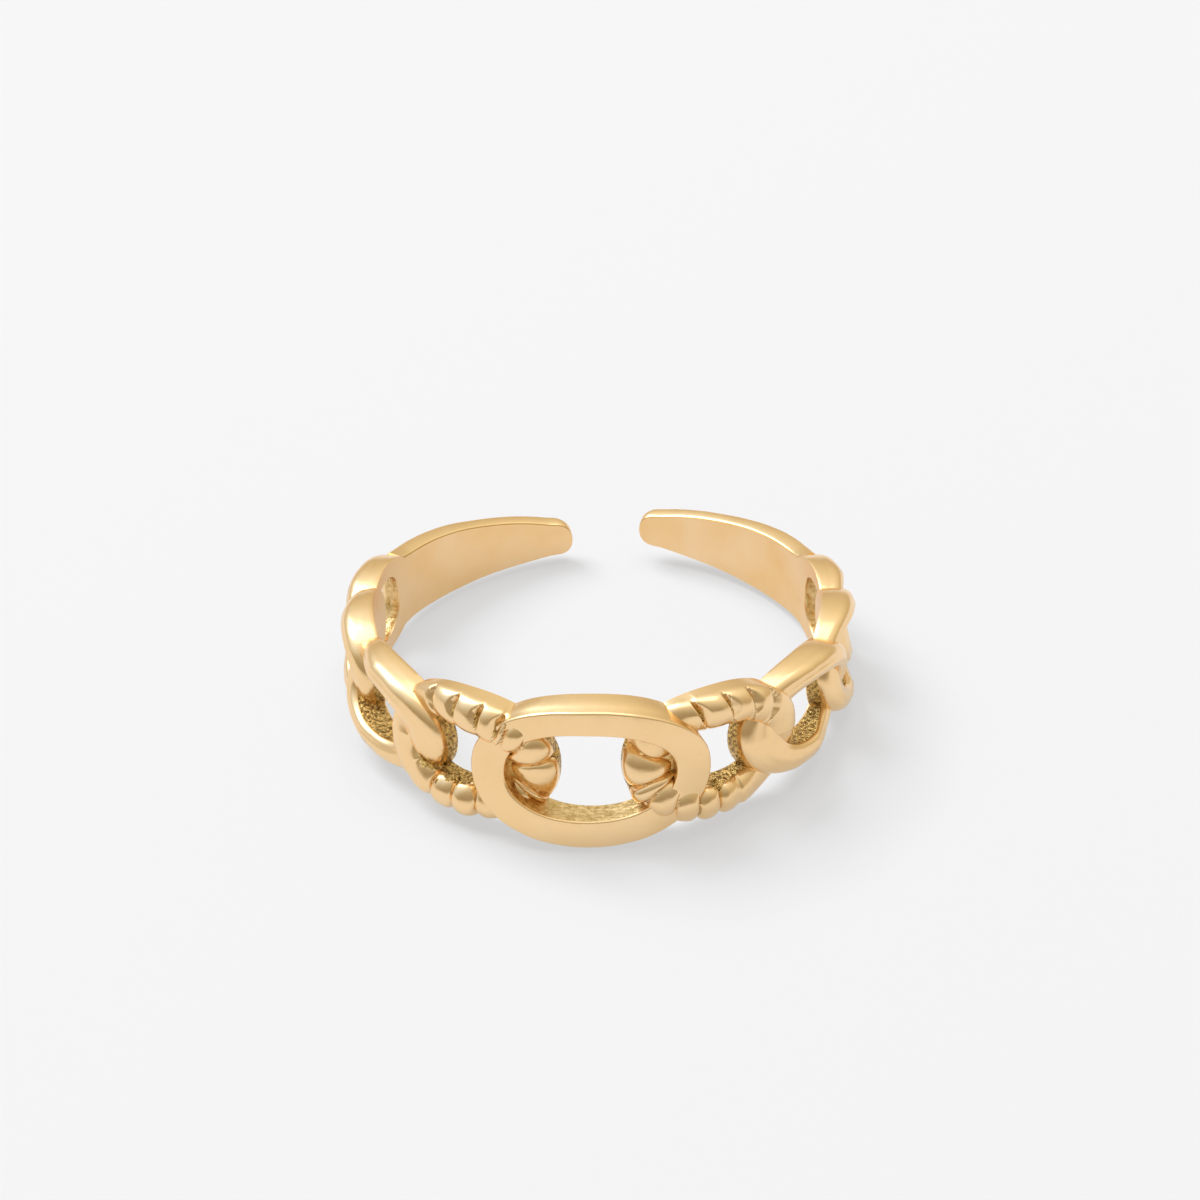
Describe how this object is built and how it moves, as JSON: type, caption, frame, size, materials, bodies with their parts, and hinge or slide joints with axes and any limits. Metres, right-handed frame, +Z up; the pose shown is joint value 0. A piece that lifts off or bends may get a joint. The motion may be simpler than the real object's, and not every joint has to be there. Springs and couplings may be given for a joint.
{
  "type": "ring",
  "caption": "Open adjustable finger ring cast as a row of interlaced chain links that runs out into two plain tapered band ends",
  "frame": {"origin": "centre of the bounding box in plan, on the surface the ring rests on", "axes": "+X to the wearer's right along the chain at the front, +Y from the centre link towards the gap in the band, +Z up from the surface the ring lies on; the bore's axis leans from +Z towards +Y by the 5.7 degree rest tilt"},
  "size_m": [0.0196, 0.019, 0.0061],
  "materials": {
    "gold_metal": "polished warm gold-coloured cast metal, satin on the inside of the band"
  },
  "bodies": {
    "root": {"chain_band": "gold_metal"}
  },
  "joints": []
}
